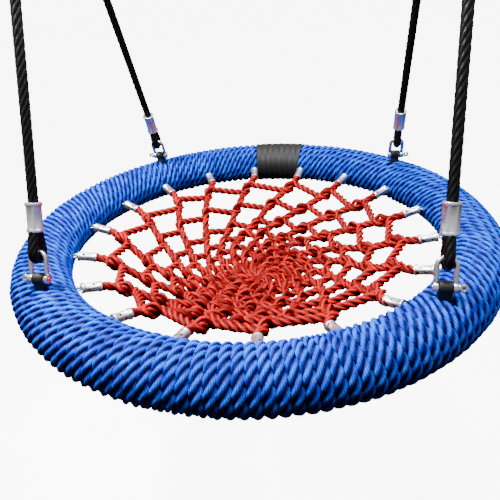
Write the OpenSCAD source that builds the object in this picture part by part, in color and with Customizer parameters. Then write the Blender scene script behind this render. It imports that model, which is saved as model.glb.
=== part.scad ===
// Saucer nest swing: a padded steel ring wound with rope, a knotted rope net,
// and four ropes that meet in two hanger shackles. Millimetres, +Z up.
// The origin is midway between the crowns of the two hanger shackles.

/* [Seat ring] */
// Outer diameter of the wound ring
ring_d = 1000; // [900:10:1200]
// Width of the wound section, from its inner to its outer edge
wrap_w = 112; // [104:1:130]
// Height of the wound section
wrap_h = 99; // [90:1:120]
// Diameter of the rope that is wound round the ring
wrap_rope_d = 15.5; // [12:0.5:17]
// Outer diameter of the steel tube
tube_d = 42.4; // [33.7:0.1:48.3]
// Wall of the steel tube
tube_wall = 3; // [2:0.5:4]
// Where the black splice cover starts, in degrees round the ring
cover_from = 81.3; // [81.2:0.1:85]
// Where the black splice cover ends
cover_to = 98.7; // [95:0.1:98.8]
// Thickness of the splice cover
cover_t = 2; // [1:0.5:3]

/* [Net] */
// Number of points where the net is tied to the ring
net_points = 18; // [12:2:24]
// Diameter of the net rope
net_rope_d = 16; // [12:1:18]
// Radius of the net's outermost rope
net_r = 310; // [280:5:320]
// How far the middle of the net hangs below the plane of the ring
net_drop = 120; // [80:5:160]
// Outer diameter of a net ferrule
net_ferrule_d = 21; // [19:0.5:24]
// Length of a net ferrule
net_ferrule_l = 38; // [34:1:46]
// Slope of a net ferrule, in degrees down towards the middle
net_ferrule_slope = 14; // [10:1:20]

/* [Suspension] */
// Diameter of the four suspension ropes
rope_d = 16; // [14:1:18]
// Height of the hanger pins over the plane of the ring
hang_h = 950; // [850:10:1200]
// Half of the distance between the two hangers
hanger_x = 328; // [320:1:340]
// Height of the lug pins over the plane of the ring
lug_h = 66; // [64:1:70]
// Outer diameter of a suspension ferrule
ferrule_d = 28; // [27:0.5:32]
// Length of a suspension ferrule
ferrule_l = 49; // [45:1:60]

/* [Shackles] */
// Pin diameter of the four ring shackles
pin_d = 8; // [8:1:9]
// Inner width of the ring shackles
shackle_in = 20.4; // [20:0.2:22]
// Height of a ring shackle's bow over its pin, to the middle of its wire
shackle_h = 46.7; // [44:0.1:50]
// Pin diameter of the two hanger shackles
hanger_pin_d = 12; // [12:1:13]
// Inner width of the hanger shackles
hanger_in = 43; // [42.6:0.2:46]
// Clear height of a hanger shackle over its pin
hanger_clear = 62; // [58:1:70]

/* [Hidden] */
$fn = 64;

// The four corners, in the order front left, front right, back right, back left
FL = 0;
FR = 1;
BR = 2;
BL = 3;
lug_angle = [225, 320, 45, 135.5];
side = [-1, 1, 1, -1];
// Front ropes and back ropes sit side by side on the hanger pins
lane = 10.5;
lane_side = [1, 1, -1, -1];

// Colours
blue = "#1c4fc4";
black = "#17171a";
red = "#cf2a1e";
steel = "#a9adb2";
alloy = "#d4d7da";

// Ring
ring_r = (ring_d - wrap_w) / 2;
ring_z = -hanger_clear - hang_h;
pin_z = -hanger_clear;
foam_w = wrap_w - 2 * wrap_rope_d;
foam_h = wrap_h - 2 * wrap_rope_d;
oval_sides = 40;
foam_gap = 2;
running = 0.05;

// Net eyes and ferrules
stud_d = 8;
stud_z = 0;
stud_hole = 0.3;
// The eye of each stud sits in a pocket between the turns of the winding
eye_at = ring_r - wrap_w / 2;
eye_r = 5;
eye_wire = 3.5;
pocket_play = 0.5;
link_r = 4.5;
link_wire = 3;
link_at = eye_at - 6.1;
net_ferrule_at = eye_at - 8;
net_tail = 30;
net_tip_r = net_ferrule_at - net_ferrule_l * cos(net_ferrule_slope);
net_edge_z = stud_z - 1 - (net_ferrule_at - net_r) * tan(net_ferrule_slope);

// Lugs and ring shackles
lug_w = shackle_in - 1;
lug_d = 21;
stem_y = 16;
stem_clear = 1;
wire_d = 8;
shackle_eye_d = 17;
bow_r = (shackle_in + wire_d) / 2;
head_d = 14;
head_t = 2.5;
head_gap = 0.3;
wing_w = 13;
wing_t = 4;
wing_hole_d = 5;

// Rope eyes: a half ring round the bow, then two legs that run into the ferrule
rope_play = 0.5;
// The main rope stops short of the lower ferrule, which turns with its shackle
rope_gap = 0.6;
eye_bend_r = (rope_d + wire_d) / 2 + rope_play;
leg_spread = 6;
lower_ferrule_z = 80;
core_d = 24;
// The pressed core stands a little out of the ferrule, and the legs end just before the ferrule
core_proud = 2;
leg_short = 0.5;
elbow_extra = 0.4;
run_into_core = 6;
upper_ferrule_z = 75;
thimble_w = 20.4;
thimble_d = 44;
groove_r = 12.3;
groove_play = 0.6;
loop_r = groove_r + rope_d / 2 + groove_play;

// Hanger shackles
hanger_wire = 12;
hanger_eye_d = 27;
hanger_bow_r = (hanger_in + hanger_wire) / 2;

function lug_x(i) = ring_r * cos(lug_angle[i]);
function lug_y(i) = ring_r * sin(lug_angle[i]);
function top_x(i) = side[i] * hanger_x + lane_side[i] * lane;
function rise() = hang_h - lug_h;
function lean(i) = atan(lug_y(i) / rise());
function span(i) = norm([lug_y(i), rise()]);
function net_z(r) = net_edge_z - (net_edge_z + net_drop) * (1 - pow(r / net_r, 2));

module oval(w, h) {
    polygon([for (k = [0:oval_sides - 1])
        [ring_r + w / 2 * cos(k * 360 / oval_sides), h / 2 * sin(k * 360 / oval_sides)]]);
}

// A part of the ring between two angles, made from a 2D section
module sector(from, to) {
    rotate([0, 0, from]) rotate_extrude(angle = to - from) children();
}

module at_ring() {
    translate([0, 0, ring_z]) children();
}

// The frame of one corner: origin on the lug pin, X along the pin, Z up the rope
module at_lug(i) {
    translate([lug_x(i), lug_y(i), ring_z + lug_h]) rotate([lean(i), 0, 0]) children();
}

// The same frame at the top: origin on the hanger pin, Z still up the rope
module at_thimble(i) {
    translate([top_x(i), 0, pin_z]) rotate([lean(i), 0, 0]) children();
}

module along_x(d, l) {
    rotate([0, 90, 0]) cylinder(d = d, h = l, center = true);
}

module stud_holes() {
    reach = eye_r + eye_wire / 2 + pocket_play;
    for (k = [0:net_points - 1]) rotate([0, 0, k * 360 / net_points])
        translate([eye_at, 0, stud_z]) rotate([0, 90, 0]) {
            cylinder(d = stud_d + 2 * stud_hole, h = ring_r - eye_at - 2);
            translate([0, 0, -reach]) cylinder(r = reach, h = 2 * reach);
        }
}

module stem_slots() {
    for (i = [FL:BL]) translate([lug_x(i), lug_y(i), wrap_h / 2])
        cube([lug_w + 2 * stem_clear, stem_y + 2 * stem_clear, wrap_h - tube_d / 2], center = true);
}

module tube_solid() {
    rotate_extrude() translate([ring_r, 0]) circle(d = tube_d);
}

// ---- Ring ----
module ring_tube() {
    color(steel) at_ring() rotate_extrude() translate([ring_r, 0]) difference() {
        circle(d = tube_d);
        circle(d = tube_d - 2 * tube_wall);
    }
}

module foam_sleeve(from, to) {
    color("#3c3f44") at_ring() difference() {
        sector(from + foam_gap, to - foam_gap) difference() {
            oval(foam_w, foam_h);
            translate([ring_r, 0]) circle(d = tube_d);
        }
        stud_holes();
    }
}

module foam_sleeve_front() foam_sleeve(lug_angle[FL], lug_angle[FR]);
module foam_sleeve_right() foam_sleeve(lug_angle[FR] - 360, lug_angle[BR]);
module foam_sleeve_back() foam_sleeve(lug_angle[BR], lug_angle[BL]);
module foam_sleeve_left() foam_sleeve(lug_angle[BL], lug_angle[FL]);

module rope_winding() {
    color(blue) at_ring() difference() {
        rotate_extrude() difference() {
            oval(wrap_w, wrap_h);
            oval(foam_w, foam_h);
        }
        stud_holes();
        stem_slots();
    }
}

module splice_cover() {
    color(black) at_ring() difference() {
        sector(cover_from, cover_to) difference() {
            oval(wrap_w + 2 * cover_t, wrap_h + 2 * cover_t);
            oval(wrap_w, wrap_h);
        }
        stud_holes();
    }
}

// ---- Net ----
module net_eye_studs() {
    color(steel) at_ring() for (k = [0:net_points - 1]) rotate([0, 0, k * 360 / net_points]) {
        difference() {
            translate([eye_at + eye_r, 0, stud_z]) rotate([0, 90, 0])
                cylinder(d = stud_d, h = ring_r - eye_at - eye_r - 4);
            tube_solid();
        }
        translate([eye_at, 0, stud_z]) rotate_extrude()
            translate([eye_r, 0]) circle(d = eye_wire, $fn = 32);
    }
}

// The frame of one net ferrule: origin at its outer end, X inwards along it
module at_net_ferrule() {
    translate([net_ferrule_at, 0, stud_z - 1]) rotate([0, 180 - net_ferrule_slope, 0]) children();
}

module net_ferrules() {
    color(alloy) at_ring() for (k = [0:net_points - 1]) rotate([0, 0, k * 360 / net_points]) {
        at_net_ferrule() rotate([0, 90, 0]) difference() {
            cylinder(d = net_ferrule_d, h = net_ferrule_l);
            translate([0, 0, net_ferrule_l - net_tail])
                cylinder(d = net_rope_d + 2 * running, h = net_tail + 1);
        }
        translate([link_at, 0, stud_z]) rotate([90, 0, 0]) rotate_extrude()
            translate([link_r, 0]) circle(d = link_wire, $fn = 32);
    }
}

module seat_net() {
    steps = 10;
    top = [for (k = [0:steps]) [net_r * k / steps, net_z(net_r * k / steps) + net_rope_d / 2]];
    under = [for (k = [steps:-1:0]) [net_r * k / steps, net_z(net_r * k / steps) - net_rope_d / 2]];
    color(red) at_ring() {
        rotate_extrude() polygon(concat(top, under));
        for (k = [0:net_points - 1]) rotate([0, 0, k * 360 / net_points])
            at_net_ferrule() rotate([0, 90, 0])
                translate([0, 0, net_ferrule_l - net_tail])
                    cylinder(d = net_rope_d, h = net_tail + net_tip_r - net_r + 6);
    }
}

// ---- Lugs and ring shackles ----
module lug(i) {
    color(black) difference() {
        translate([lug_x(i), lug_y(i), ring_z]) {
            translate([0, 0, lug_h]) along_x(lug_d, lug_w);
            translate([-lug_w / 2, -stem_y / 2, 0]) cube([lug_w, stem_y, lug_h]);
        }
        translate([lug_x(i), lug_y(i), ring_z + lug_h])
            along_x(pin_d + 2 * running, lug_w + 2);
        at_ring() tube_solid();
    }
}

module shackle(eye_d, in, wire, bow, height, pin) {
    for (s = [-1, 1]) {
        translate([s * (in + wire) / 2, 0, 0]) difference() {
            union() {
                along_x(eye_d, wire);
                cylinder(d = wire, h = height - bow);
            }
            along_x(pin + 2 * running, wire + 2);
        }
    }
    translate([0, 0, height - bow]) rotate([90, 0, 0])
        rotate_extrude(angle = 180) translate([bow, 0]) circle(d = wire);
}

// A screw pin along X with its collar and eye on the +X side
module screw_pin(d, grip, collar_d, collar_t, tab_w, tab_t, hole_d) {
    translate([-grip / 2 - 1, 0, 0]) rotate([0, 90, 0]) cylinder(d = d, h = grip + 2);
    translate([grip / 2 + head_gap, 0, 0]) rotate([0, 90, 0]) cylinder(d = collar_d, h = collar_t);
    translate([grip / 2 + head_gap + collar_t + tab_w / 2 - 1, 0, 0]) difference() {
        rotate([90, 0, 0]) cylinder(d = tab_w, h = tab_t, center = true);
        rotate([90, 0, 0]) cylinder(d = hole_d, h = tab_t + 2, center = true);
    }
}

module ring_shackle(i) {
    color(steel) at_lug(i) shackle(shackle_eye_d, shackle_in, wire_d, bow_r, shackle_h, pin_d);
}

module ring_pin(i) {
    color(steel) at_lug(i) rotate([0, 0, side[i] > 0 ? 0 : 180])
        screw_pin(pin_d, shackle_in + 2 * wire_d, head_d, head_t, wing_w, wing_t, wing_hole_d);
}

// ---- Ropes ----
// Two legs from a half ring of radius r at height z0 to just short of the ferrule's face at z1,
// with a ball at each elbow
module rope_legs(r, z0, z1) {
    way = sign(z1 - z0);
    rise_l = abs(z1 - z0);
    swing = atan((r - leg_spread) / rise_l);
    for (s = [-1, 1]) translate([0, s * r, z0]) sphere(d = rope_d + elbow_extra);
    intersection() {
        for (s = [-1, 1]) translate([0, s * r, z0]) rotate([s * swing * way, 0, 0])
            rotate([way > 0 ? 0 : 180, 0, 0]) cylinder(d = rope_d, h = rise_l / cos(swing) + 4);
        translate([-rope_d, -2 * r - rope_d, way > 0 ? z0 - rope_d : z1 + leg_short])
            cube([2 * rope_d, 4 * r + 2 * rope_d, rise_l + rope_d - leg_short]);
    }
}

// A half ring of rope in the YZ plane, open upwards or downwards
module rope_bend(r, z0, turn) {
    translate([0, 0, z0]) rotate([turn, 0, 0]) rotate([90, 0, 90])
        rotate_extrude(angle = 180) translate([r, 0]) circle(d = rope_d);
}

module rope_eye(i) {
    color(black) at_lug(i) {
        rope_bend(eye_bend_r, shackle_h, 180);
        rope_legs(eye_bend_r, shackle_h, lower_ferrule_z);
        translate([0, 0, lower_ferrule_z - core_proud])
            cylinder(d = core_d, h = ferrule_l + core_proud);
    }
}

module lower_ferrule(i) {
    color(alloy) at_lug(i) translate([0, 0, lower_ferrule_z]) difference() {
        cylinder(d = ferrule_d, h = ferrule_l);
        translate([0, 0, -1]) cylinder(d = core_d, h = ferrule_l + 2);
    }
}

module rope(i) {
    from = lower_ferrule_z + ferrule_l + rope_gap;
    run = span(i) - upper_ferrule_z - ferrule_l - from;
    shift = top_x(i) - lug_x(i);
    color(black) {
        at_lug(i) translate([0, 0, from]) rotate([0, atan(shift / run), 0])
            cylinder(d = rope_d, h = norm([run, shift]) + run_into_core);
        at_thimble(i) {
            translate([0, 0, -upper_ferrule_z - ferrule_l])
                cylinder(d = core_d, h = ferrule_l + core_proud);
            rope_legs(loop_r, 0, -upper_ferrule_z);
            rope_bend(loop_r, 0, 0);
        }
    }
}

module upper_ferrule(i) {
    color(alloy) at_thimble(i) translate([0, 0, -upper_ferrule_z - ferrule_l]) difference() {
        cylinder(d = ferrule_d, h = ferrule_l);
        translate([0, 0, -1]) cylinder(d = core_d, h = ferrule_l + 2);
    }
}

module thimble(i) {
    groove = loop_r - groove_r;
    color(steel) at_thimble(i) rotate([0, 90, 0]) difference() {
        cylinder(d = thimble_d, h = thimble_w, center = true);
        rotate_extrude() translate([loop_r, 0]) circle(r = groove);
        rotate_extrude() translate([loop_r, -groove]) square([groove + 4, 2 * groove]);
        cylinder(d = hanger_pin_d + 2 * running, h = thimble_w + 2, center = true);
    }
}

// ---- Hangers ----
module hanger_shackle(s) {
    color(steel) translate([s * hanger_x, 0, pin_z])
        shackle(hanger_eye_d, hanger_in, hanger_wire, hanger_bow_r,
            hanger_clear + hanger_wire / 2, hanger_pin_d);
}

module hanger_pin(s) {
    color(steel) translate([s * hanger_x, 0, pin_z]) rotate([0, 0, s > 0 ? 0 : 180])
        screw_pin(hanger_pin_d, hanger_in + 2 * hanger_wire, 20, 4, 20, 6, 9);
}

ring_tube();
foam_sleeve_front();
foam_sleeve_right();
foam_sleeve_back();
foam_sleeve_left();
rope_winding();
splice_cover();
net_eye_studs();
net_ferrules();
seat_net();
lug(FL);  // front_left_lug
lug(FR);  // front_right_lug
lug(BR);  // back_right_lug
lug(BL);  // back_left_lug
ring_shackle(FL);  // front_left_shackle
ring_shackle(FR);  // front_right_shackle
ring_shackle(BR);  // back_right_shackle
ring_shackle(BL);  // back_left_shackle
ring_pin(FL);  // front_left_pin
ring_pin(FR);  // front_right_pin
ring_pin(BR);  // back_right_pin
ring_pin(BL);  // back_left_pin
rope_eye(FL);  // front_left_rope_eye
rope_eye(FR);  // front_right_rope_eye
rope_eye(BR);  // back_right_rope_eye
rope_eye(BL);  // back_left_rope_eye
lower_ferrule(FL);  // front_left_lower_ferrule
lower_ferrule(FR);  // front_right_lower_ferrule
lower_ferrule(BR);  // back_right_lower_ferrule
lower_ferrule(BL);  // back_left_lower_ferrule
rope(FL);  // front_left_rope
rope(FR);  // front_right_rope
rope(BR);  // back_right_rope
rope(BL);  // back_left_rope
upper_ferrule(FL);  // front_left_upper_ferrule
upper_ferrule(FR);  // front_right_upper_ferrule
upper_ferrule(BR);  // back_right_upper_ferrule
upper_ferrule(BL);  // back_left_upper_ferrule
thimble(FL);  // front_left_thimble
thimble(FR);  // front_right_thimble
thimble(BR);  // back_right_thimble
thimble(BL);  // back_left_thimble
hanger_shackle(-1);  // left_hanger_shackle
hanger_shackle(1);  // right_hanger_shackle
hanger_pin(-1);  // left_hanger_pin
hanger_pin(1);  // right_hanger_pin
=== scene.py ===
# %% [markdown]
# # A nest swing with a rope-wound ring
# The swing is a steel ring, padded with foam and wound with blue rope. A red rope net is tied
# into it, and four black ropes hold it from two hanger shackles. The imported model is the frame:
# it fixes every size and joint, and each cell below dresses one kind of piece in it.

# %% The frame
import math
import random
import bmesh
import bpy
import numpy as np
from mathutils import Matrix, Vector


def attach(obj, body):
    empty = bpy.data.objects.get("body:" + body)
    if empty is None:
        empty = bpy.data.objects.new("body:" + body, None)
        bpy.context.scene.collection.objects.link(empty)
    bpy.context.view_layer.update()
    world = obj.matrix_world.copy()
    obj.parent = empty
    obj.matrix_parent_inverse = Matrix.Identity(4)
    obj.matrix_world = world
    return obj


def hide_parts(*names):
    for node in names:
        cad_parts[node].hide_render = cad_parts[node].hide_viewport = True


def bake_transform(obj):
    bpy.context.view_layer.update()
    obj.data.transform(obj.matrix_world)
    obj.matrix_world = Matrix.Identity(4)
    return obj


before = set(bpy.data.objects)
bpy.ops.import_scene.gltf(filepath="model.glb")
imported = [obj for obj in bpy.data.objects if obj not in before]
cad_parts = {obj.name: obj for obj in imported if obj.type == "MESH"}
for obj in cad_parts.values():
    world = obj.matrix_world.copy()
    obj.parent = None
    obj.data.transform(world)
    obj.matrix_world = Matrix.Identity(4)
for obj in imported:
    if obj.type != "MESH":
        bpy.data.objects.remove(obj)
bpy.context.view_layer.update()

SCENE = bpy.context.scene
MM = 0.001

# %% [markdown]
# ## The camera
# A camera is placed by a point, a direction and a roll. It stands about a metre from the middle
# of the seat and half a metre over it, and looks down on the net. The short lens widens the
# near edge of the ring, as a close look at a big seat does.

# %% The camera
CAMERA_AT = Vector((0.1837, -0.9195, -0.5199))
CAMERA_TURN = math.radians(12.2)
CAMERA_DOWN = math.radians(29.87)
CAMERA_ROLL = math.radians(-4.197)
LENS_MM, FILM_MM = 34.74, 36
lens = bpy.data.cameras.new("camera")
lens.lens = LENS_MM
lens.sensor_width = FILM_MM
lens.clip_start = 0.01
camera = bpy.data.objects.new("camera", lens)
SCENE.collection.objects.link(camera)
camera.matrix_world = (
    Matrix.Translation(CAMERA_AT)
    @ Matrix.Rotation(CAMERA_TURN, 4, "Z")
    @ Matrix.Rotation(math.pi / 2 - CAMERA_DOWN, 4, "X")
    @ Matrix.Rotation(CAMERA_ROLL, 4, "Z")
)
SCENE.camera = camera
print("camera at", tuple(round(v, 3) for v in camera.matrix_world.translation))

# %% [markdown]
# ## Places
# The same few sizes place everything: the ring's middle radius and height, the pins, and the
# lean of each rope. Each corner has a frame of its own, with its origin on a pin, X along the
# pin and Z up the rope, so that one recipe makes all four corners.

# %% Sizes and corner frames
RING_R = 444 * MM
RING_Z = -1012 * MM
PIN_Z = -62 * MM
LUG_H = 66 * MM
WRAP_W = 112 * MM
WRAP_H = 99 * MM
HANGER_X = 328 * MM
LANE = 10.5 * MM
# Each corner: its angle round the ring, its hanger, and its lane on that hanger's pin
CORNERS = {
    "front_left": (225, -1, 1),
    "front_right": (320, 1, 1),
    "back_right": (45, 1, -1),
    "back_left": (135.5, -1, -1),
}


def corner_frames(angle, side, lane):
    """The frame on the lug pin, the frame on the hanger pin and the distance between the pins."""
    turn = math.radians(angle)
    lug = Vector((RING_R * math.cos(turn), RING_R * math.sin(turn), RING_Z + LUG_H))
    rise = PIN_Z - lug.z
    tilt = Matrix.Rotation(math.atan(lug.y / rise), 4, "X")
    top = Vector((side * HANGER_X + lane * LANE, 0, PIN_Z))
    return Matrix.Translation(lug) @ tilt, Matrix.Translation(top) @ tilt, math.hypot(lug.y, rise)


LUG_FRAME, TOP_FRAME, SPAN = {}, {}, {}
for corner, facts in CORNERS.items():
    LUG_FRAME[corner], TOP_FRAME[corner], SPAN[corner] = corner_frames(*facts)
print("spans in metres", {corner: round(s, 3) for corner, s in SPAN.items()})

# %% [markdown]
# ## Finishes: two helpers
# Colours are written as the hex values a paint card gives and turned to linear light by one
# function. One more function adds a shader node with its settings and links.

# %% Colour and node helpers


def linear(card):
    """An sRGB hex value as linear red, green, blue and alpha."""
    parts = [int(card[i:i + 2], 16) / 255 for i in (1, 3, 5)]
    return [c / 12.92 if c <= 0.04045 else ((c + 0.055) / 1.055) ** 2.4 for c in parts] + [1.0]


def add(tree, kind, inputs=None, **settings):
    """Adds a node. An input is a value, or a socket to link to."""
    node = tree.nodes.new(kind)
    for key, value in settings.items():
        setattr(node, key, value)
    for key, value in (inputs or {}).items():
        if isinstance(value, bpy.types.NodeSocket):
            tree.links.new(value, node.inputs[key])
        else:
            node.inputs[key].default_value = value
    return node


def finish_named(name, **sockets):
    """A new material: its tree and its shader, with constants on the shader's own sockets."""
    material = bpy.data.materials.new(name)
    material.use_nodes = True
    tree = material.node_tree
    shader = tree.nodes["Principled BSDF"]
    for key, value in sockets.items():
        shader.inputs[key.replace("_", " ")].default_value = value
    return material, tree, shader


print("grey card", [round(v, 3) for v in linear("#808080")])

# %% [markdown]
# ## Rope finishes
# A laid rope is strands twisted together, three in the blue and red ropes here and six in the
# black ones, and each strand is a bundle of yarns. The yarns lie nearly in line with the rope, across
# the slant of the strands. Polypropylene is waxy and bright, polyester is duller. The rope's own map
# runs along it in metres and round it from 0 to 1, so the shader knows where the grooves and the yarns
# are. It paints shade into the grooves and between the yarns, and a highlight on the crowns.

# %% Rope finish
# Yarns are drawn about 2.7 mm wide on a 15.5 mm rope, coarser than real ones, so that they show
YARNS_ROUND = 18
# Noise is set by how often it repeats in a metre: about every 7 mm and every 22 mm
SWAYS_PER_METRE, PATCHES_PER_METRE = 140.0, 45.0


def rope_finish(name, strands, light, mid, painted_shade, lay, rough, yarn_depth, **sockets):
    """Laid rope: a painted highlight on the crowns, painted shade in the grooves and between the yarns,
    with yarns in line with it.
    """
    material, tree, shader = finish_named(name, **sockets)
    place = add(tree, "ShaderNodeTexCoord")
    split = add(tree, "ShaderNodeSeparateXYZ", {0: place.outputs["UV"]})
    along, around = split.outputs["X"], split.outputs["Y"]
    strand = add(tree, "ShaderNodeMath", {0: around, 1: float(strands)}, operation="MULTIPLY")
    groove = add(tree, "ShaderNodeMath", {0: strand.outputs[0], 1: 0.5}, operation="PINGPONG")
    turns = add(tree, "ShaderNodeMath", {0: along, 1: 1 / lay}, operation="MULTIPLY")
    spot = add(tree, "ShaderNodeMath", {0: turns.outputs[0], 1: around}, operation="SUBTRACT")
    # A little waviness keeps the yarns from looking machined
    sway = add(tree, "ShaderNodeTexNoise",
               {"Vector": place.outputs["Object"], "Scale": SWAYS_PER_METRE})
    sway_by = add(tree, "ShaderNodeMath", {0: sway.outputs["Fac"], 1: 0.03, 2: spot.outputs[0]},
                  operation="MULTIPLY_ADD")
    yarn_turn = add(tree, "ShaderNodeMath", {0: sway_by.outputs[0], 1: YARNS_ROUND},
                    operation="MULTIPLY")
    yarn = add(tree, "ShaderNodeMath", {0: yarn_turn.outputs[0], 1: 0.5}, operation="PINGPONG")
    patch = add(tree, "ShaderNodeTexNoise",
                {"Vector": place.outputs["Object"], "Scale": PATCHES_PER_METRE, "Detail": 4.0})
    # The power keeps the painted shade to the bottom of a groove
    near = add(tree, "ShaderNodeMath", {0: groove.outputs[0], 1: 2.0}, operation="MULTIPLY")
    groove_shade = add(tree, "ShaderNodeMath", {0: near.outputs[0], 1: 2.5}, operation="POWER")
    # Painted light: the groove bottoms take the shade colour as painted shade, and crowns where the
    # noise patches are low take the light colour as a painted highlight. The patches also vary the tone
    # at random
    shade = add(tree, "ShaderNodeMath", {0: patch.outputs["Fac"], 1: 0.9, 2: groove_shade.outputs[0]},
                operation="MULTIPLY_ADD")
    ramp = add(tree, "ShaderNodeValToRGB", {0: shade.outputs[0]})
    ramp.color_ramp.elements[0].position = 0.3
    ramp.color_ramp.elements[0].color = linear(light)
    ramp.color_ramp.elements[1].position = 1.0
    ramp.color_ramp.elements[1].color = linear(painted_shade)
    middle = ramp.color_ramp.elements.new(0.62)
    middle.color = linear(mid)
    # Painted shade between the yarns: across each yarn the colour is pulled towards the shade colour
    yarn_gap_shade = add(tree, "ShaderNodeMath", {0: yarn.outputs[0], 1: 1.5}, operation="MULTIPLY")
    # Sockets 6 and 7 of a colour mix are its two colours
    dark = add(tree, "ShaderNodeMix",
               {"Factor": yarn_gap_shade.outputs[0], 6: ramp.outputs["Color"], 7: linear(painted_shade)},
               data_type="RGBA")
    tree.links.new(dark.outputs[2], shader.inputs["Base Color"])
    worn = add(tree, "ShaderNodeMapRange", {0: patch.outputs["Fac"], 3: rough, 4: rough + 0.2})
    tree.links.new(worn.outputs[0], shader.inputs["Roughness"])
    bump = add(tree, "ShaderNodeBump", {"Height": yarn.outputs[0], "Strength": 0.6,
                                        "Distance": yarn_depth}, invert=True)
    tree.links.new(bump.outputs[0], shader.inputs["Normal"])
    return material


# For each rope: the light colour is a painted highlight on the crowns, the mid colour is the rope's
# own, and the last colour is painted shade for its grooves and the gaps between yarns
BLUE_LAY, RED_LAY, BLACK_LAY = 56 * MM, 52 * MM, 90 * MM
# Polypropylene split-film rope: waxy, its crowns painted bright as a highlight
BLUE_ROPE = rope_finish("blue_polypropylene_rope", 3, "#1a74ff", "#0130c0", "#00033c",
                        BLUE_LAY, 0.3, 0.9 * MM, Specular_IOR_Level=0.06)
# Polyester rope: satin, it takes the light more softly
RED_ROPE = rope_finish("red_polyester_rope", 3, "#cc0706", "#9c0302", "#3c0000",
                       RED_LAY, 0.4, 0.4 * MM, Specular_IOR_Level=0.1)
# Polyester again: nearly black, with a dull shine along each strand, partly real and partly its crowns
# painted a little paler as a highlight
BLACK_ROPE = rope_finish("black_polyester_rope", 6, "#101012", "#060607", "#000000",
                         BLACK_LAY, 0.34, 0.5 * MM, Specular_IOR_Level=0.12)
print("rope finishes", BLUE_ROPE.name, RED_ROPE.name, BLACK_ROPE.name)

# %% [markdown]
# ## How a rope is made
# A curve carries an outline along a route, and each point's tilt twists it. An
# outline with a lobe for each strand, twisted once in each lay, gives the strands of a
# right-laid rope as real shape, grooves and all. The curve then becomes a mesh, its map gets its real length, and its ends
# are closed.

# %% Rope outlines and routes
LOBE_SIDES = 18
SIX_SIDES = 36
STRAND_SIDES = 8


def outline(name, radii):
    """A closed flat curve whose points stand at these distances from its middle."""
    shape = bpy.data.curves.new(name, "CURVE")
    shape.dimensions = "2D"
    loop = shape.splines.new("POLY")
    loop.points.add(len(radii) - 1)
    loop.use_cyclic_u = True
    for k, r in enumerate(radii):
        turn = math.tau * k / len(radii)
        loop.points[k].co = (r * math.cos(turn), r * math.sin(turn), 0, 1)
    return bpy.data.objects.new(name, shape)


def lobe(turn):
    """How far out three round strands reach in this direction, of 1. Each is half as wide."""
    return math.cos((turn + math.pi / 3) % (math.tau / 3) - math.pi / 3)


LAID = outline("laid_outline", [lobe(math.tau * k / LOBE_SIDES) for k in range(LOBE_SIDES)])
# The suspension ropes are taken to have six strands on a steel core, so their grooves are shallow
GROOVE = 0.14
SIX = outline("six_strand_outline",
              [1 - GROOVE + GROOVE * abs(math.cos(3 * math.tau * k / SIX_SIDES))
               for k in range(SIX_SIDES)])
ROUND = outline("strand_outline", [1.0] * STRAND_SIDES)


def travelled(points, closed=False):
    """The distance along the route to each point, and the whole length."""
    line = np.array([tuple(p) for p in points])
    ahead = np.vstack([line[1:], line[:1]]) if closed else line[1:]
    steps = np.linalg.norm(ahead - line[:len(ahead)], axis=1)
    total = float(steps.sum())
    run = np.concatenate([[0.0], np.cumsum(steps)])[:len(line)]
    return line, run, total


def smooth_route(knots, step, closed=False):
    """Points about a step apart on a smooth line through the knots."""
    count = len(knots)
    reach = count if closed else count - 1
    found = []
    for i in range(reach):
        if closed:
            a, b, c, d = (Vector(knots[(i + k) % count]) for k in (-1, 0, 1, 2))
        else:
            a, b, c, d = (Vector(knots[min(max(i + k, 0), count - 1)]) for k in (-1, 0, 1, 2))
        parts = max(1, round((c - b).length / step))
        for j in range(parts):
            t = j / parts
            found.append(b + t * (c - a) / 2 + t * t * (2 * a - 5 * b + 4 * c - d) / 2
                         + t ** 3 * (3 * b - a - 3 * c + d) / 2)
    if not closed:
        found.append(Vector(knots[-1]))
    return found


def rope_mesh(name, routes, shape, radius, lay=None, closed=False):
    """One mesh with a rope or strand along each route."""
    sides = len(shape.data.splines[0].points)
    curve = bpy.data.curves.new(name, "CURVE")
    curve.dimensions = "3D"
    curve.twist_mode = "MINIMUM"
    curve.bevel_mode = "OBJECT"
    curve.bevel_object = shape
    lengths = []
    for points in routes:
        line, run, total = travelled(points, closed)
        spline = curve.splines.new("POLY")
        spline.points.add(len(line) - 1)
        spline.use_cyclic_u = closed
        spline.points.foreach_set("co", np.hstack([line, np.ones((len(line), 1))]).ravel())
        spline.points.foreach_set("radius", np.full(len(line), radius))
        if lay:
            # On a closed route the strands have to meet, so the twist is a whole number of thirds
            twists = round(3 * total / lay) / 3 if closed else total / lay
            spline.points.foreach_set("tilt", run / total * twists * math.tau)
        lengths += [total] * ((len(line) if closed else len(line) - 1) * sides)
    holder = bpy.data.objects.new(name, curve)
    SCENE.collection.objects.link(holder)
    graph = bpy.context.evaluated_depsgraph_get()
    mesh = bpy.data.meshes.new_from_object(holder.evaluated_get(graph), depsgraph=graph)
    bpy.data.objects.remove(holder)
    spread = np.zeros(len(mesh.loops) * 2)
    mesh.uv_layers[0].data.foreach_get("uv", spread)
    spread[0::2] *= np.repeat(lengths, 4)
    mesh.uv_layers[0].data.foreach_set("uv", spread)
    return mesh


def close_ends(bm):
    """Fills the open ends of a rope and turns every face outwards."""
    bmesh.ops.holes_fill(bm, edges=[e for e in bm.edges if e.is_boundary], sides=0)
    bmesh.ops.recalc_face_normals(bm, faces=bm.faces)


def closed_mesh(mesh):
    """The same mesh with its ends closed."""
    bm = bmesh.new()
    bm.from_mesh(mesh)
    close_ends(bm)
    bm.to_mesh(mesh)
    bm.free()
    return mesh


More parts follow.
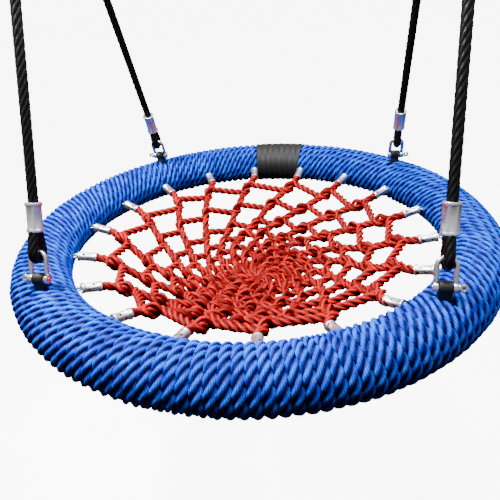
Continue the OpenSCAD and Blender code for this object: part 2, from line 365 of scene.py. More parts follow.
def piece(name, mesh, body, slot, material, *nodes):
    """Puts a finished mesh in the scene, on its body, with its finish and the nodes it stands for."""
    thing = bpy.data.objects.new(name, mesh)
    SCENE.collection.objects.link(thing)
    mesh.materials.clear()
    mesh.materials.append(material)
    if body:
        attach(thing, body)
    if nodes:
        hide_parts(*nodes)
    return thing


print("rope outline sides", LOBE_SIDES, "strand sides", STRAND_SIDES)

# %% [markdown]
# ## The four suspension ropes
# Each black rope is 16 mm polyester, held taut between its ferrules, and runs straight from
# one to the other. The lower ferrule rocks with its shackle.

# %% The four rope runs
ROPE_R = 8 * MM
# Over the crowns of its strands the rope is a little thicker than its nominal size
ROPE_FULL = 8.6 * MM
FOOT_Z = 129.6 * MM
HEAD_DROP = 124 * MM
# Each end runs on this far past the places above, so that it is hidden in its ferrule
TUCK = 3 * MM


def cord_route(corner):
    """From just inside the lower ferrule to just inside the upper one."""
    foot = LUG_FRAME[corner] @ Vector((0, 0, FOOT_Z - TUCK))
    head = TOP_FRAME[corner] @ Vector((0, 0, TUCK - HEAD_DROP))
    count = round((head - foot).length / (4 * MM))
    return [foot.lerp(head, k / count) for k in range(count + 1)]


for corner in CORNERS:
    route = cord_route(corner)
    run = closed_mesh(rope_mesh(f"{corner}_rope_run", [route], SIX, ROPE_FULL, BLACK_LAY))
    rope = piece(f"{corner}_rope_run", run, None, "black_rope", BLACK_ROPE, f"{corner}_rope")
    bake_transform(rope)

# %% [markdown]
# ## The rope's two ends
# Under the lower ferrule the rope is bent tightly round the bow of a shackle and both legs run
# back up into the ferrule. At the top it lies in the groove of a steel thimble. Both loops are
# short laid ropes on their own routes.

# %% Rope eyes and thimble loops
EYE_R = 12.5 * MM
EYE_Z = 46.7 * MM
LOOP_R = 20.9 * MM
LEG_Y = 6 * MM
FERRULE_Z = 80 * MM
FERRULE_R, FERRULE_L = 14 * MM, 49 * MM
UPPER_Z = 75 * MM
RUN_IN = 6 * MM
ARC_STEPS = 14


def hairpin(radius, centre_z, end_z):
    """Two legs and a half turn in the YZ plane. The half turn is on the far side of end_z."""
    way = 1 if end_z > centre_z else -1
    arc = [Vector((0, -radius * math.cos(math.pi * k / ARC_STEPS),
                   centre_z - way * radius * math.sin(math.pi * k / ARC_STEPS)))
           for k in range(ARC_STEPS + 1)]
    knots = [Vector((0, -LEG_Y, end_z)), Vector((0, -LEG_Y, end_z - way * RUN_IN))] + arc
    knots += [Vector((0, LEG_Y, end_z - way * RUN_IN)), Vector((0, LEG_Y, end_z))]
    return smooth_route(knots, 3 * MM)


for corner in CORNERS:
    eye = closed_mesh(rope_mesh(f"{corner}_eye", [hairpin(EYE_R, EYE_Z, FERRULE_Z + RUN_IN)],
                                SIX, ROPE_FULL, BLACK_LAY))
    eye.transform(LUG_FRAME[corner])
    piece(f"{corner}_bow_eye", eye, f"{corner}_rope_end", "black_rope", BLACK_ROPE,
          f"{corner}_rope_eye")
    loop = closed_mesh(rope_mesh(f"{corner}_loop", [hairpin(LOOP_R, 0, -UPPER_Z - RUN_IN)],
                                 SIX, ROPE_R, BLACK_LAY))
    loop.transform(TOP_FRAME[corner])
    piece(f"{corner}_thimble_loop", loop, "seat", "black_rope", BLACK_ROPE, f"{corner}_rope")
print("eyes and loops", 2 * len(CORNERS))

# %% [markdown]
# ## The rope winding
# One long 15.5 mm blue rope goes round the padded ring about 161 times, with its turns touching
# at the inner side. Bending a whole coil is simpler than aiming every turn: the rope is wound
# on a straight oval bar, and the bar is then bent into a ring, which also spreads the turns
# on the outer side, as hands do when they pack the rope tight.

# %% The winding
WIND_D = 15.5 * MM
WIND_A = (WRAP_W - WIND_D) / 2
WIND_B = (WRAP_H - WIND_D) / 2
BAR_R = RING_R - WIND_A
TURNS = 161
TURN_STEPS = 60
WIND_FROM = math.radians(90)
STUDS = 18
STUD_Z = 0
NUDGE_W = 26 * MM
NUDGE = 6 * MM
# Packed turns press into each other, so the rope is drawn a little thicker than its turns
PRESSED = 1.17
SHIFT, SWELL = 0.35 * MM, 0.7 * MM


def nudge(x, spin):
    """How far a turn moves along the bar to make room for the stem of a lug."""
    moved = 0.0
    for angle, _, _ in CORNERS.values():
        off = x - ((WIND_FROM - math.radians(angle)) % math.tau) * BAR_R
        if abs(off) < 4 * NUDGE_W and math.sin(spin) > 0:
            moved += math.copysign(NUDGE, off) * math.exp(-(off / NUDGE_W) ** 2) * math.sin(spin) ** 8
    return moved


def wound_route():
    """No two turns lie quite alike: each has its own small shift along the bar and its own swell."""
    total = TURNS * TURN_STEPS
    uneven = random.Random(3)
    shifts = [uneven.uniform(-SHIFT, SHIFT) for _ in range(TURNS + 2)]
    swells = [uneven.uniform(-SWELL, SWELL) for _ in range(TURNS + 2)]
    points = []
    for k in range(total + 1):
        turn, part = divmod(k / TURN_STEPS, 1)
        shift, swell = (row[int(turn)] * (1 - part) + row[int(turn) + 1] * part
                        for row in (shifts, swells))
        spin = math.tau * k / TURN_STEPS - math.pi / 2
        x = math.tau * BAR_R * k / total
        points.append((x + shift + nudge(x, spin), (WIND_A + swell) * math.cos(spin),
                       (WIND_B + swell) * math.sin(spin)))
    return points


wound = rope_mesh("winding", [wound_route()], LAID, PRESSED * WIND_D / 2, BLUE_LAY)
spots = np.zeros(len(wound.vertices) * 3)
wound.vertices.foreach_get("co", spots)
spots = spots.reshape(-1, 3)
# The bar bends clockwise: the other way would mirror the rope and turn its lay left-handed
swing_to = WIND_FROM - spots[:, 0] / BAR_R
reach_out = RING_R + spots[:, 1]
spots = np.stack([reach_out * np.cos(swing_to), reach_out * np.sin(swing_to),
                  RING_Z + spots[:, 2]], axis=1)
wound.vertices.foreach_set("co", spots.ravel())
SECTORS = ["first", "second", "third", "fourth"]
share = TURNS * TURN_STEPS // len(SECTORS) * LOBE_SIDES
for k, sector in enumerate(SECTORS):
    bm = bmesh.new()
    bm.from_mesh(wound)
    bm.faces.ensure_lookup_table()
    last = len(bm.faces) if k == len(SECTORS) - 1 else (k + 1) * share
    spare = [f for f in bm.faces if not k * share <= f.index < last]
    bmesh.ops.delete(bm, geom=spare, context="FACES")
    close_ends(bm)
    part = bpy.data.meshes.new(f"winding_{sector}_quarter")
    bm.to_mesh(part)
    bm.free()
    piece(f"winding_{sector}_quarter", part, "seat", "blue_rope", BLUE_ROPE, "rope_winding")
    print("winding", sector, "quarter", len(part.polygons), "faces")
bpy.data.meshes.remove(wound)

# %% [markdown]
# ## The net
# Eighteen spokes run in from the ferrules in a slow swirl. Each spoke is a 16 mm rope, and at
# each crossing its three strands part to let a ring rope through, then close again. The strands
# are therefore drawn one by one, and the ring ropes are whole laid ropes on closed routes
# through the crossings.

# %% The net's crossings
NET_R = 310 * MM
NET_DROP = 120 * MM
FERRULE_AT = 380 * MM
FERRULE_SLOPE = math.radians(14)
NET_FERRULE_L = 38 * MM
NET_EDGE_Z = STUD_Z - 1 * MM - (FERRULE_AT - NET_R) * math.tan(FERRULE_SLOPE)
# Each ring rope: its radius in millimetres and how far the swirl has carried it, in degrees
RINGS = [(304, 3), (248, 11), (196, 22), (155, 35), (120, 48), (90, 60), (62, 71)]
# The three strands of a spoke: their size, how far off its middle they lie, and how far they part
STRAND_R = 4.9 * MM
STRAND_OUT = 4.7 * MM
PART_BY = 9.2 * MM
HOOP_R = 9.6 * MM
# A hand-tied net is uneven: how far a crossing strays outwards, upwards and round, in degrees
STRAY_OUT, STRAY_UP, STRAY_ROUND = 4.5 * MM, 3 * MM, 1.6
PITCH = 360 / STUDS
rng = random.Random(7)


def net_height(r):
    """The net is a shallow dish: its height at this distance from the middle."""
    return RING_Z + NET_EDGE_Z - (NET_EDGE_Z + NET_DROP) * (1 - (r / NET_R) ** 2)


def round_about(r, degrees, z):
    """A point given by its distance from the middle, its angle and its height."""
    turn = math.radians(degrees)
    return Vector((r * math.cos(turn), r * math.sin(turn), z))


CROSSINGS = []
for r, swirl in RINGS:
    row = []
    for k in range(STUDS):
        here = r * MM + rng.uniform(-STRAY_OUT, STRAY_OUT)
        lift = rng.uniform(-STRAY_UP, STRAY_UP)
        at = PITCH * k + swirl + rng.uniform(-STRAY_ROUND, STRAY_ROUND)
        row.append(round_about(here, at, net_height(here) + lift))
    CROSSINGS.append(row)


def spoke_knots(k):
    """From inside the ferrule, through the crossings, to the middle."""
    start = FERRULE_AT - 10 * MM * math.cos(FERRULE_SLOPE)
    tip = FERRULE_AT - (NET_FERRULE_L + 4 * MM) * math.cos(FERRULE_SLOPE)
    knots = []
    for r in (start, (start + tip) / 2, tip):
        drop = (FERRULE_AT - r) * math.tan(FERRULE_SLOPE)
        knots.append(round_about(r, PITCH * k, RING_Z + STUD_Z - 1 * MM - drop))
    knots += [row[k] for row in CROSSINGS]
    if k % 2:
        knots.append(round_about(40 * MM, PITCH * k + 78, net_height(40 * MM) - 9 * MM))
    else:
        knots.append(round_about(34 * MM, PITCH * k + 80, net_height(34 * MM) + 4 * MM))
        knots.append(round_about(4 * MM, PITCH * k + 60, net_height(4 * MM) - 4 * MM))
    return knots


def strands_of(k):
    """The three strand routes of one spoke, parted at its crossings."""
    line, run, total = travelled(smooth_route(spoke_knots(k), 4 * MM))
    phase = rng.uniform(0, math.tau)
    gates = []
    for row in CROSSINGS:
        near = np.linalg.norm(line - np.array(row[k]), axis=1).argmin()
        gates.append(run[near])
    ahead = np.gradient(line, axis=0)
    ahead /= np.linalg.norm(ahead, axis=1)[:, None]
    flank = np.cross(ahead, [0, 0, 1])
    flank /= np.linalg.norm(flank, axis=1)[:, None]
    over = np.cross(flank, ahead)
    found = []
    for s in range(3):
        turn = math.tau * run / RED_LAY + phase + math.tau * s / 3
        lift = STRAND_OUT * np.cos(turn)
        for number, gate in enumerate(gates):
            half = (23 - 1.6 * number) * MM
            window = np.clip(1 - np.abs(run - gate) / half, 0, 1)
            window = window * window * (3 - 2 * window)
            at_gate = math.cos(math.tau * gate / RED_LAY + phase + math.tau * s / 3)
            lift = lift + window * math.copysign(PART_BY, at_gate)
        aside = STRAND_OUT * np.sin(turn)
        found.append(line + over * lift[:, None] + flank * aside[:, None])
    return found


strand_routes = [route for k in range(STUDS) for route in strands_of(k)]
spokes = closed_mesh(rope_mesh("net_spokes", strand_routes, ROUND, STRAND_R))
piece("net_spokes", spokes, "seat", "red_rope", RED_ROPE, "seat_net")


def hoop_knots(number):
    """A hoop runs a little way along each spoke, from its outer side to its inner side."""
    knots = []
    rows = [None] + CROSSINGS + [None]
    outer, row, inner = rows[number:number + 3]
    reach = (15 - 1.4 * number) * MM
    for k in range(STUDS):
        start = outer[k] if outer else round_about(FERRULE_AT, PITCH * k, RING_Z)
        stop = inner[k] if inner else round_about(30 * MM, PITCH * k + 80, net_height(30 * MM))
        along = (stop - start).normalized() * reach
        knots += [row[k] - along, row[k] + along]
    return knots


hoops = [smooth_route(hoop_knots(n), 5 * MM, closed=True) for n in range(len(RINGS))]
hoop_mesh = closed_mesh(rope_mesh("net_hoops", hoops, LAID, HOOP_R, RED_LAY, closed=True))
piece("net_hoops", hoop_mesh, "seat", "red_rope", RED_ROPE, "seat_net")
print("net", len(spokes.polygons), "spoke faces", len(hoop_mesh.polygons), "hoop faces")

# %% [markdown]
# ## Metal, rubber and foam finishes
# Zinc-plated steel is bright with a fine cloudy bloom. Pressed aluminium is paler and satin,
# because the die leaves it smooth but not polished. The lugs are black rubber over steel, the
# splice cover is a black vinyl sleeve, and the pads under the winding are closed-cell foam.

# %% Hardware finishes


def cloudy(name, card, low, high, grain, depth, **sockets):
    """A finish whose roughness wanders between two values in patches of one grain size."""
    material, tree, shader = finish_named(name, Base_Color=linear(card), **sockets)
    place = add(tree, "ShaderNodeTexCoord")
    cloud = add(tree, "ShaderNodeTexNoise",
                {"Vector": place.outputs["Object"], "Scale": 1 / grain, "Detail": 3.0})
    worn = add(tree, "ShaderNodeMapRange", {0: cloud.outputs["Fac"], 1: 0.3, 2: 0.7, 3: low, 4: high})
    bump = add(tree, "ShaderNodeBump", {"Height": cloud.outputs["Fac"], "Strength": 0.4,
                                        "Distance": depth})
    tree.links.new(worn.outputs[0], shader.inputs["Roughness"])
    tree.links.new(bump.outputs[0], shader.inputs["Normal"])
    return material


ZINC = cloudy("zinc_plated_steel", "#cfd2d6", 0.2, 0.32, 4 * MM, 0.04 * MM, Metallic=1.0)
ALLOY = cloudy("pressed_aluminium", "#dfe2e5", 0.28, 0.4, 9 * MM, 0.05 * MM, Metallic=1.0)
TUBE_STEEL = cloudy("galvanised_steel_tube", "#b4b7ba", 0.4, 0.6, 12 * MM, 0.1 * MM, Metallic=1.0)
RUBBER = cloudy("black_moulded_rubber", "#09090a", 0.45, 0.65, 2 * MM, 0.1 * MM,
                Specular_IOR_Level=0.25)
VINYL = cloudy("black_vinyl_sleeve", "#0a0a0b", 0.5, 0.7, 1.5 * MM, 0.25 * MM,
               Specular_IOR_Level=0.25)
FOAM = cloudy("closed_cell_foam", "#34363a", 0.85, 1.0, 1.5 * MM, 0.3 * MM)
print("hardware finishes", ZINC.name, ALLOY.name, RUBBER.name, VINYL.name, FOAM.name)

# %% [markdown]
# ## How the hardware is made
# Round parts are turned: an outline is spun about an axis. Wires are bent along a route with a
# round outline. Sharp rims are then broken with a small bevel, which is what catches the light.

# %% Turning, bending and joining
WIRE_SIDES = 20
RIM_ANGLE = math.radians(38)
WIRE = outline("wire_outline", [1.0] * WIRE_SIDES)
ALONG_X = Matrix.Rotation(math.pi / 2, 4, "Y")
ALONG_Y = Matrix.Rotation(-math.pi / 2, 4, "X")


def turned(profile, steps, place, ring=False):
    """Spins an outline of radius and height pairs, in millimetres. A ring's outline is a loop."""
    bm = bmesh.new()
    dots = [bm.verts.new((r * MM, 0, z * MM)) for r, z in profile]
    lines = [bm.edges.new(pair) for pair in zip(dots, dots[1:])]
    if ring:
        lines.append(bm.edges.new((dots[-1], dots[0])))
    bmesh.ops.spin(bm, geom=dots + lines, cent=(0, 0, 0), axis=(0, 0, 1), angle=math.tau,
                   steps=steps, use_merge=True)
    bmesh.ops.remove_doubles(bm, verts=bm.verts, dist=0.001 * MM)
    bmesh.ops.transform(bm, matrix=place, verts=bm.verts)
    return bm


def circle_of(radius, middle, sides):
    """The outline of a round wire, for a turned ring."""
    return [(middle + radius * math.cos(math.tau * k / sides), radius * math.sin(math.tau * k / sides))
            for k in range(sides)]


def drum(outer, inner, length):
    """The outline of a bored disc, centred on its own middle."""
    return [(inner, -length / 2), (outer, -length / 2), (outer, length / 2), (inner, length / 2)]


def soften(bm, width, segments=3):
    """Breaks every sharp edge with a small round."""
    bmesh.ops.recalc_face_normals(bm, faces=bm.faces)
    sharp = [e for e in bm.edges if e.is_manifold and e.calc_face_angle() > RIM_ANGLE]
    bmesh.ops.bevel(bm, geom=sharp, offset=width * MM, offset_type="OFFSET", affect="EDGES",
                    segments=segments, profile=0.5, material=-1, clamp_overlap=True)
    return bm


def bent_wire(points, radius):
    """A round wire along a route given in millimetres."""
    bm = bmesh.new()
    bm.from_mesh(rope_mesh("wire", [[Vector(p) * MM for p in points]], WIRE, radius * MM))
    close_ends(bm)
    return bm


def take_in(whole, part):
    """Moves the faces of one bmesh into another."""
    spare = bpy.data.meshes.new("spare")
    part.to_mesh(spare)
    part.free()
    whole.from_mesh(spare)
    bpy.data.meshes.remove(spare)


def joined(name, parts, place=None):
    """One smooth mesh from several parts, with every face outwards."""
    whole = bmesh.new()
    for part in parts:
        bmesh.ops.recalc_face_normals(part, faces=part.faces)
        take_in(whole, part)
    if place:
        bmesh.ops.transform(whole, matrix=place, verts=whole.verts)
    mesh = bpy.data.meshes.new(name)
    whole.to_mesh(mesh)
    whole.free()
    mesh.shade_smooth()
    mesh.set_sharp_from_angle(angle=RIM_ANGLE)
    return mesh


print("wire sides", WIRE_SIDES)

# %% [markdown]
# ## Shackles and their screw pins
# A shackle is a bent wire with a flat bored eye at each end. Its pin screws through both eyes
# and has a collar and a flat ring head to turn it by. The four small shackles rock with their
# rope ends, and the two big ones are the hangers, fixed to the beam.

# %% Shackles and pins
PIN_SLACK = 0.05
SMALL_BOW = {"wire": 8, "inner": 20.4, "eye": 17, "bore": 8, "height": 46.7}
SMALL_PIN = {"bore": 8, "grip": 36.4, "collar_d": 14, "collar_t": 2.5, "head_d": 13, "head_t": 4,
             "hole_d": 5}
BIG_BOW = {"wire": 12, "inner": 43, "eye": 27, "bore": 12, "height": 68}
BIG_PIN = {"bore": 12, "grip": 67, "collar_d": 20, "collar_t": 4, "head_d": 20, "head_t": 6,
           "hole_d": 9}


def shackle(wire, inner, eye, bore, height):
    """The bow and its two eyes. The origin is on the pin, and height is to the wire's middle."""
    bow = (inner + wire) / 2
    arc = [(bow * math.cos(math.pi * k / 24), 0, height - bow + bow * math.sin(math.pi * k / 24))
           for k in range(25)]
    foot = bore / 2 + 1
    legs = [(bow, 0, foot + (height - bow - foot) * k / 3) for k in range(3)]
    route = legs + arc + [(-x, y, z) for x, y, z in reversed(legs)]
    parts = [bent_wire(route, wire / 2)]
    for side in (-1, 1):
        place = Matrix.Translation((side * bow * MM, 0, 0)) @ ALONG_X
        parts.append(soften(turned(drum(eye / 2, bore / 2 + PIN_SLACK, wire), 40, place, ring=True),
                            wire / 7))
    return parts


def screw_pin(bore, grip, collar_d, collar_t, head_d, head_t, hole_d):
    """The pin lies along X, with its collar and ring head on the +X side."""
    shank = [(0, -grip / 2 - 1), (bore / 2, -grip / 2 - 1), (bore / 2, grip / 2 + 1), (0, grip / 2 + 1)]
    collar_at = grip / 2 + 0.3
    collar = [(0, collar_at), (collar_d / 2, collar_at), (collar_d / 2, collar_at + collar_t),
              (0, collar_at + collar_t)]
    head_at = (collar_at + collar_t + head_d / 2 - 1) * MM
    return [
        soften(turned(shank, 32, ALONG_X), 0.6),
        soften(turned(collar, 40, ALONG_X), collar_t / 5),
        soften(turned(drum(head_d / 2, hole_d / 2, head_t), 40,
                      Matrix.Translation((head_at, 0, 0)) @ ALONG_Y, ring=True), head_t / 5),
    ]


FLIP = Matrix.Rotation(math.pi, 4, "Z")
for corner, (_, side, _) in CORNERS.items():
    body = f"{corner}_rope_end"
    bow = joined(f"{corner}_bow", shackle(**SMALL_BOW), LUG_FRAME[corner])
    piece(f"{corner}_bow", bow, body, "plated_steel", ZINC, f"{corner}_shackle")
    pin = joined(f"{corner}_screw_pin", screw_pin(**SMALL_PIN),
                 LUG_FRAME[corner] @ (Matrix() if side > 0 else FLIP))
    piece(f"{corner}_screw_pin", pin, body, "plated_steel", ZINC, f"{corner}_pin")
for name, side in (("left", -1), ("right", 1)):
    here = Matrix.Translation((side * HANGER_X, 0, PIN_Z))
    bow = joined(f"{name}_hanger_bow", shackle(**BIG_BOW), here)
    piece(f"{name}_hanger_bow", bow, "hangers", "plated_steel", ZINC, f"{name}_hanger_shackle")
    pin = joined(f"{name}_hanger_screw_pin", screw_pin(**BIG_PIN),
                 here @ (Matrix() if side > 0 else FLIP))
    piece(f"{name}_hanger_screw_pin", pin, "hangers", "plated_steel", ZINC, f"{name}_hanger_pin")
print("small and hanger shackles", len(CORNERS), 2)

# %% [markdown]
# ## Ferrules, thimbles and lugs
# A ferrule is an aluminium tube pressed on the rope in a six-sided die. The die leaves flats
# along its middle and a round lip at each end. The thimbles are solid round ones that turn on
# the hanger pins. A lug is a rubber-covered barrel on a stem that stands up through the winding.

# %% Ferrules, thimbles and lugs
# How much of a true flat the die presses, of 1
PRESS = 0.75


def ferrule(radius, length, place, steps=48):
    """Solid inside, as the rope fills it, with a hollow at each end and six pressed flats."""
    half = [(0, 2.5), (radius - 3.3, 2.5), (radius - 2.2, 0.3), (radius - 1.2, 0), (radius - 0.3, 0.6),
            (radius, 1.8), (radius, 3.6), (radius - 0.5, 5), (radius - 0.5, 7)]
    bm = turned(half + [(r, length - z) for r, z in reversed(half)], steps, Matrix())
    for v in bm.verts:
        out = math.hypot(v.co.x, v.co.y)
        if 6 * MM < v.co.z < (length - 6) * MM and out > MM:
            turn = math.atan2(v.co.y, v.co.x) % (math.pi / 3) - math.pi / 6
            flat = math.cos(math.pi / 6) / math.cos(turn)
            v.co.xy *= 1 - PRESS * (1 - flat)
    bmesh.ops.transform(bm, matrix=place, verts=bm.verts)
    return bm


def thimble():
    """A grooved disc along X."""
    rim, bore, half, groove_at, groove = 22, 6.05, 10.2, 20.9, 8.6
    reach = math.acos((rim - groove_at) / groove)
    steps = 12
    arc = [(groove_at + groove * math.cos(reach + (math.tau - 2 * reach) * k / steps),
            groove * math.sin(reach + (math.tau - 2 * reach) * k / steps)) for k in range(steps + 1)]
    loop = [(bore, -half), (rim, -half)] + list(reversed(arc)) + [(rim, half), (bore, half)]
    return soften(turned(loop, 64, ALONG_X, ring=True), 0.5, 2)


def lug():
    """A bored barrel along X and the stem under it, which ends on the tube."""
    barrel = soften(turned(drum(10.5, 4.05, 19.4), 48, ALONG_X, ring=True), 1.6, 4)
    stem = bmesh.new()
    top, foot = -6, -46
    bmesh.ops.create_cube(stem, size=1, matrix=Matrix.Translation((0, 0, (top + foot) / 2 * MM))
                          @ Matrix.Diagonal((19.4 * MM, 16 * MM, (top - foot) * MM, 1)))
    return [barrel, soften(stem, 1.6, 3)]


for corner in CORNERS:
    foot = LUG_FRAME[corner] @ Matrix.Translation((0, 0, FERRULE_Z))
    low = joined(f"{corner}_foot_ferrule", [ferrule(FERRULE_R / MM, FERRULE_L / MM, foot)])
    piece(f"{corner}_foot_ferrule", low, f"{corner}_rope_end", "pressed_alloy", ALLOY,
          f"{corner}_lower_ferrule")
    head = TOP_FRAME[corner] @ Matrix.Translation((0, 0, -UPPER_Z - FERRULE_L))
    high = joined(f"{corner}_head_ferrule", [ferrule(FERRULE_R / MM, FERRULE_L / MM, head)])
    piece(f"{corner}_head_ferrule", high, "seat", "pressed_alloy", ALLOY, f"{corner}_upper_ferrule")
    disc = joined(f"{corner}_grooved_thimble", [thimble()], TOP_FRAME[corner])
    piece(f"{corner}_grooved_thimble", disc, "seat", "plated_steel", ZINC, f"{corner}_thimble")
    upright = Matrix.Translation(LUG_FRAME[corner].translation)
    barrel = joined(f"{corner}_barrel_lug", lug(), upright)
    piece(f"{corner}_barrel_lug", barrel, "seat", "black_lug", RUBBER, f"{corner}_lug")
print("ferrules", 2 * len(CORNERS), "thimbles and lugs", 2 * len(CORNERS))

# %% [markdown]
# ## The net's fixings
# At each of eighteen points a stud stands out of the ring with a flat eye on its end. A link
# joins the eye to the net's ferrule. One set is made at the first point and spun round.

# %% Studs, links and net ferrules
EYE_AT, EYE_WIRE, EYE_BEND = 388, 1.75, 5
LINK_AT, LINK_WIRE, LINK_BEND = 381.9, 1.5, 4.5
SHANK_R, SHANK_FROM, SHANK_TO = 4, 393, 424
SLEEVE_R = 10.5


def spun_round(name, parts):
    """The parts, and seventeen more sets of them round the ring."""
    mesh = joined(name, parts, Matrix.Translation((0, 0, RING_Z)))
    bm = bmesh.new()
    bm.from_mesh(mesh)
    bmesh.ops.spin(bm, geom=bm.verts[:] + bm.edges[:] + bm.faces[:], cent=(0, 0, 0), axis=(0, 0, 1),
                   angle=math.tau * (STUDS - 1) / STUDS, steps=STUDS - 1, use_duplicate=True)
    bmesh.ops.recalc_face_normals(bm, faces=bm.faces)
    bm.to_mesh(mesh)
    bm.free()
    return mesh


stud_place = Matrix.Translation((0, 0, STUD_Z)) @ ALONG_X
eye_place = Matrix.Translation((EYE_AT * MM, 0, STUD_Z))
shank = [(0, SHANK_FROM), (SHANK_R, SHANK_FROM), (SHANK_R, SHANK_TO), (0, SHANK_TO)]
stud = soften(turned(shank, 16, stud_place), 0.5, 2)
eye = turned(circle_of(EYE_WIRE, EYE_BEND, 12), 28, eye_place, ring=True)
piece("stud_eyes", spun_round("stud_eyes", [stud, eye]), "seat", "plated_steel", ZINC,
      "net_eye_studs")
link = turned(circle_of(LINK_WIRE, LINK_BEND, 12), 24,
              Matrix.Translation((LINK_AT * MM, 0, STUD_Z)) @ ALONG_Y, ring=True)
tilt = Matrix.Rotation(-math.pi / 2 - FERRULE_SLOPE, 4, "Y")
sleeve = ferrule(SLEEVE_R, NET_FERRULE_L / MM,
                 Matrix.Translation((FERRULE_AT, 0, STUD_Z - MM)) @ tilt, 36)
piece("pressed_net_ferrules", spun_round("pressed_net_ferrules", [link, sleeve]), "seat",
      "pressed_alloy", ALLOY, "net_ferrules")
print("net fixings", STUDS)

# %% [markdown]
# ## The splice cover and the padding
# Where the winding starts and ends, a tight black sleeve covers the join, and the turns under
# it show through as soft ridges. Under the winding, four foam sleeves fill the space between
# the steel tube and the rope.

# %% Splice cover, foam and tube
COVER_FROM, COVER_TO = math.radians(81.3), math.radians(98.7)
COVER_T = 2 * MM
RIDGE = 0.7 * MM
COVER_WALL = 2.2 * MM


def oval_loop(bm, half_w, half_h, sides, turn):
    """A closed loop of edges in the upright plane at this angle round the ring."""
    dots = [bm.verts.new((RING_R + half_w * math.cos(math.tau * k / sides), 0,
                          half_h * math.sin(math.tau * k / sides))) for k in range(sides)]
    bmesh.ops.rotate(bm, verts=dots, cent=(0, 0, 0), matrix=Matrix.Rotation(turn, 3, "Z"))
    return dots + [bm.edges.new((dots[k - 1], dots[k])) for k in range(sides)]


def swept(half_w, half_h, sides, start, stop, steps):
    """A tube of oval section round a part of the ring."""
    bm = bmesh.new()
    loop = oval_loop(bm, half_w, half_h, sides, start)
    bmesh.ops.spin(bm, geom=loop, cent=(0, 0, 0), axis=(0, 0, 1), angle=stop - start, steps=steps)
    return bm


cover = swept(WRAP_W / 2 + COVER_T, WRAP_H / 2 + COVER_T, 72, COVER_FROM, COVER_TO, 84)
bmesh.ops.recalc_face_normals(cover, faces=cover.faces)
cover.normal_update()
# One ridge for each turn under the sleeve, and a few soft creases of its own
for v in cover.verts:
    turn = math.atan2(v.co.y, v.co.x)
    spin = math.atan2(v.co.z, math.hypot(v.co.x, v.co.y) - RING_R)
    wave = math.cos(TURNS * (WIND_FROM - turn) - spin) + 0.4 * math.sin(3 * spin + 71 * turn)
    v.co += v.normal * RIDGE * wave
bmesh.ops.solidify(cover, geom=cover.faces[:], thickness=COVER_WALL)
cover_mesh = joined("vinyl_cover", [soften(cover, 0.8, 3)], Matrix.Translation((0, 0, RING_Z)))
piece("vinyl_cover", cover_mesh, "seat", "black_sleeve", VINYL, "splice_cover")

FOAM_GAP = math.radians(2)
SLEEVES = {"front": (225, 320), "right": (-40, 45), "back": (45, 135.5), "left": (135.5, 225)}
FOAM_W, FOAM_H = (WRAP_W - 2 * WIND_D) / 2, (WRAP_H - 2 * WIND_D) / 2
TUBE_R = 21.2 * MM
for name, (start, stop) in SLEEVES.items():
    first, last = math.radians(start) + FOAM_GAP, math.radians(stop) - FOAM_GAP
    pad = swept(FOAM_W, FOAM_H, 40, first, last, 48)
    core = swept(TUBE_R, TUBE_R, 40, first, last, 48)
    take_in(pad, core)
    for end in (first, last):
        away = Vector((-math.sin(end), math.cos(end), 0))
        rims = [e for e in pad.edges if e.is_boundary
                and abs(away.dot(e.verts[0].co)) < MM and abs(away.dot(e.verts[1].co)) < MM
                and e.verts[0].co.xy.dot(Vector((math.cos(end), math.sin(end)))) > 0]
        bmesh.ops.bridge_loops(pad, edges=rims)
    sleeve_mesh = joined(f"foam_pad_{name}", [soften(pad, 3, 3)], Matrix.Translation((0, 0, RING_Z)))
    thing = piece(f"foam_pad_{name}", sleeve_mesh, "seat", "foam", FOAM, f"foam_sleeve_{name}")

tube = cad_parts["ring_tube"]
tube.data.materials.clear()
tube.data.materials.append(TUBE_STEEL)
print("cover", len(cover_mesh.polygons), "faces; tube", tube.data.materials[0].name)

# %% [markdown]
# ## The studio
# The swing hangs over a back-lit opal table, so that the floor stays white without throwing
# light up on the dark side of the ring. The surround is bright above and dim below, and three
# soft lamps over the seat bring out the relief of the ropes.

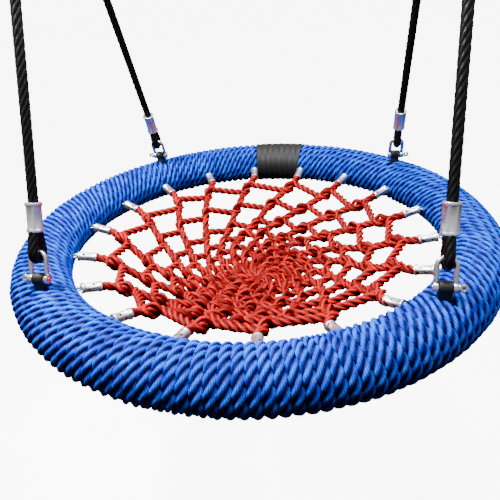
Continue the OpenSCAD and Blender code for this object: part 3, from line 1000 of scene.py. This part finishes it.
# %% Floor and lamps
FLOOR_Z = -1.9
FLOOR_W = 12.0
TABLE_GLOW = 8.0
SKY, GROUND = 0.16, 0.01
SHINE = 0.7
floor_mesh = bpy.data.meshes.new("floor")
bm = bmesh.new()
bmesh.ops.create_grid(bm, x_segments=1, y_segments=1, size=FLOOR_W,
                      matrix=Matrix.Translation((0, 0, FLOOR_Z)))
bm.to_mesh(floor_mesh)
bm.free()
TABLE, _, _ = finish_named("opal_acrylic_table", Base_Color=linear("#f4f4f4"), Roughness=0.9,
                           Emission_Color=(1, 1, 1, 1), Emission_Strength=TABLE_GLOW)
floor_mesh.materials.append(TABLE)
floor = bpy.data.objects.new("floor", floor_mesh)
SCENE.collection.objects.link(floor)
floor.visible_diffuse = False
floor.visible_glossy = False
world = bpy.data.worlds.new("white_surround")
world.use_nodes = True
SCENE.world = world
sky = world.node_tree
backdrop = sky.nodes["Background"]
backdrop.inputs["Color"].default_value = (1, 1, 1, 1)
way = add(sky, "ShaderNodeTexCoord")
height = add(sky, "ShaderNodeSeparateXYZ", {0: way.outputs["Generated"]})
fade = add(sky, "ShaderNodeMapRange", {0: height.outputs["Z"], 1: -0.1, 2: 0.9, 3: GROUND, 4: SKY})
seen = add(sky, "ShaderNodeLightPath")
# Metal needs something bright to reflect, so a shiny surface sees more light than a dull one
cards = add(sky, "ShaderNodeMapRange", {0: height.outputs["Z"], 1: -0.5, 2: 0.3, 3: 0.06, 4: SHINE})
shine = add(sky, "ShaderNodeMix", {"Factor": seen.outputs["Is Glossy Ray"], 2: fade.outputs[0],
                                   3: cards.outputs[0]}, data_type="FLOAT")
glow = add(sky, "ShaderNodeMix", {"Factor": seen.outputs["Is Camera Ray"], 2: shine.outputs[0],
                                  3: TABLE_GLOW}, data_type="FLOAT")
sky.links.new(glow.outputs[0], backdrop.inputs["Strength"])


def lamp(name, at, aim, width, power):
    """A square soft lamp that faces a point."""
    light = bpy.data.lights.new(name, "AREA")
    light.size = width
    light.energy = power
    thing = bpy.data.objects.new(name, light)
    SCENE.collection.objects.link(thing)
    back = (Vector(at) - Vector(aim)).to_track_quat("Z", "Y").to_matrix().to_4x4()
    thing.matrix_world = Matrix.Translation(at) @ back
    thing.visible_camera = False


lamp("key_lamp", (-0.7, -0.25, 0.15), (-0.15, -0.15, RING_Z), 0.22, 78)
lamp("top_lamp", (0.35, -0.3, 0.25), (0.25, -0.15, RING_Z), 0.25, 34)
lamp("back_lamp", (0.15, 0.6, 0.25), (0, 0.3, RING_Z), 0.3, 30)
print("floor at", FLOOR_Z)
